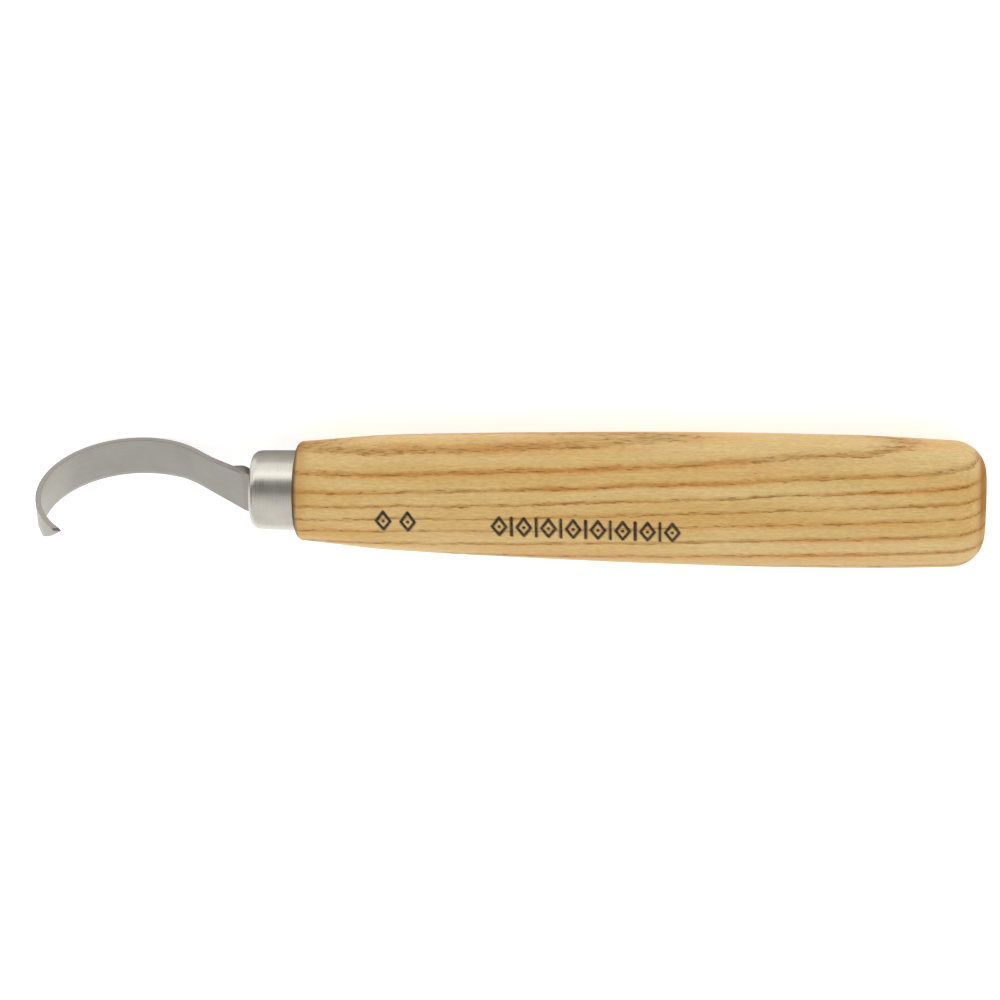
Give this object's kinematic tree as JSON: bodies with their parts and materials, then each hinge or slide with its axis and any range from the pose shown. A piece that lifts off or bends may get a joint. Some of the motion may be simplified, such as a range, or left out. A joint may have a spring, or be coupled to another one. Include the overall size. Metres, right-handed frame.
{
  "type": "hook knife",
  "caption": "Wood carving knife with a curved hook blade, a short metal ferrule and an oval ash handle, lying on its back.",
  "frame": {"origin": "under the middle of the knife's box, on the surface that it lies on", "axes": "+X from the hook to the butt along the handle, +Y towards the blade's spine across the handle's broad side, +Z towards the side that the hook opens to"},
  "size_m": [0.1658, 0.0246, 0.0287],
  "materials": {
    "blade_steel": "satin ground carbon steel",
    "ferrule_metal": "satin nickel plate",
    "handle_wood": "oiled ash, sanded",
    "adhesive": "cured epoxy resin"
  },
  "bodies": {
    "root": {"blade": "blade_steel", "ferrule": "ferrule_metal", "handle": "handle_wood", "tang_adhesive": "adhesive"}
  },
  "joints": []
}
